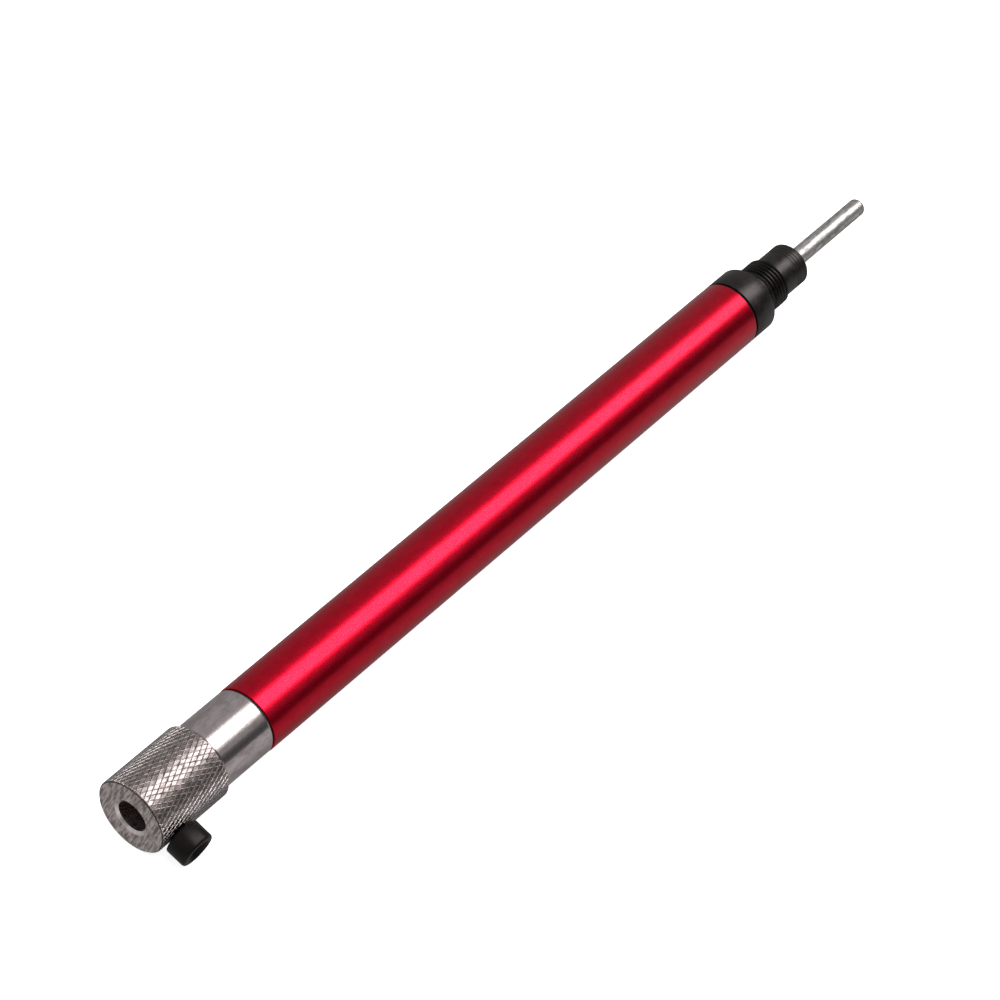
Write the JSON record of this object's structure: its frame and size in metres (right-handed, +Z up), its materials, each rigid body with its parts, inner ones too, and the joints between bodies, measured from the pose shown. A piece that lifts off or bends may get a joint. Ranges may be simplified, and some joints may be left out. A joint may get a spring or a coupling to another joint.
{
  "type": "pin vise drill",
  "caption": "Slim hand-held pin vise: knurled clamping head with a side screw, long anodised tube handle, threaded tail bushing and a sprung rod.",
  "frame": {"origin": "centre of the chuck bore's mouth, on the front face of the knurled head", "axes": "+X along the tool's axis from the head to the tail, +Z up when the clamp screw's head and the knurl rest on a table, +Y completes the right-handed frame"},
  "size_m": [0.2511, 0.0238, 0.0178],
  "materials": {
    "turned_steel": "fine ground and knurled",
    "black_oxide_screw": "black oxide, slightly glossy",
    "black_oxide": "black oxide, satin, light scratches",
    "brass_tip": "turned",
    "inner_steel": "turned",
    "bronze": "sintered bronze",
    "spring_steel": "drawn wire",
    "dark_washer": "smooth",
    "red_anodised": "satin anodised",
    "acetal": "machined",
    "rod_steel": "drawn, streaky",
    "rubber_seal": "smooth"
  },
  "bodies": {
    "handle": {"handle_tube": "red_anodised", "front_bush": "bronze", "rear_bush": "bronze", "thrust_washer": "dark_washer", "rod_guide": "acetal", "spring_seat": "inner_steel", "return_spring": "spring_steel", "tail_bushing": "black_oxide", "guide_bush": "bronze", "rod_wiper": "rubber_seal"},
    "chuck": {"chuck_body": "turned_steel", "spindle": "inner_steel", "spindle_bush": "bronze", "spindle_washer": "inner_steel", "retaining_ring": "spring_steel"},
    "pad": {"clamp_pad": "brass_tip"},
    "screw": {"clamp_screw": "black_oxide_screw"},
    "rod": {"push_rod": "rod_steel", "rod_anvil": "inner_steel", "stop_collar": "inner_steel", "rod_clip": "spring_steel"}
  },
  "joints": [
    {"name": "chuck_spin", "type": "hinge", "parent": "handle", "child": "chuck", "pos_m": [0.02, 0, 0], "axis": [1, 0, 0], "continuous": true},
    {"name": "pad_travel", "type": "slide", "parent": "chuck", "child": "pad", "axis": [0, -0.9397, -0.342], "range_m": [-0.0004, 0.0032]},
    {"name": "screw_turn", "type": "hinge", "parent": "pad", "child": "screw", "pos_m": [0.005, 0, 0], "axis": [0, -0.9397, -0.342], "range_deg": [-180, 1440]},
    {"name": "rod_slide", "type": "slide", "parent": "handle", "child": "rod", "axis": [-1, 0, 0], "range_m": [0, 0.012], "stiffness_N_per_m": 150, "springref_m": -0.01, "deforming": ["return_spring"]}
  ],
  "couplings": [
    {"joint": "screw_turn", "follows": "pad_travel", "rad_per_m": 7854}
  ]
}
